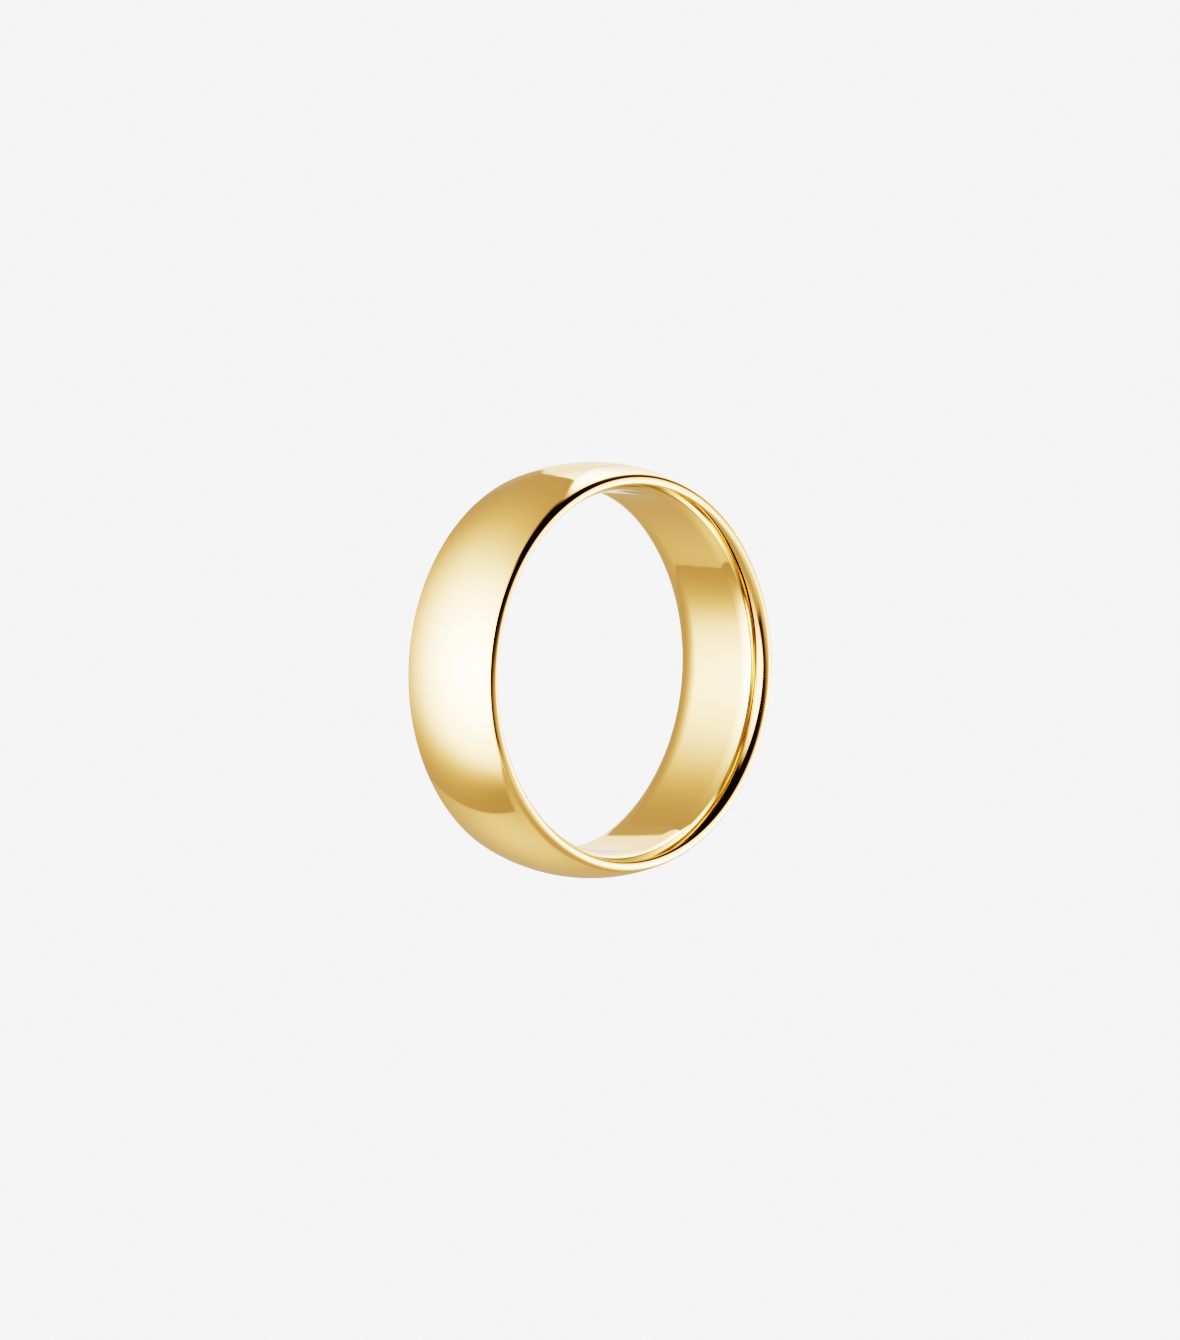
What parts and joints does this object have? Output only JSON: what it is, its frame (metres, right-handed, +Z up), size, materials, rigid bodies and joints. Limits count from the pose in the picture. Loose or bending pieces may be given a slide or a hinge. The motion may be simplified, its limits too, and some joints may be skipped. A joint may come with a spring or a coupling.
{
  "type": "wedding band",
  "caption": "Plain polished gold wedding band: domed crown, rounded sides and eased inner edges, with a round bore for the finger.",
  "frame": {"origin": "centre of the bore, on its axis and midway between the two sides; the band stands upright on its crown", "axes": "+Y along the bore, the way a finger goes through it; +Z up across the band; +X across the band to the right"},
  "size_m": [0.0206, 0.006, 0.0206],
  "materials": {
    "polished_gold": null
  },
  "bodies": {
    "root": {"band": "polished_gold"}
  },
  "joints": []
}
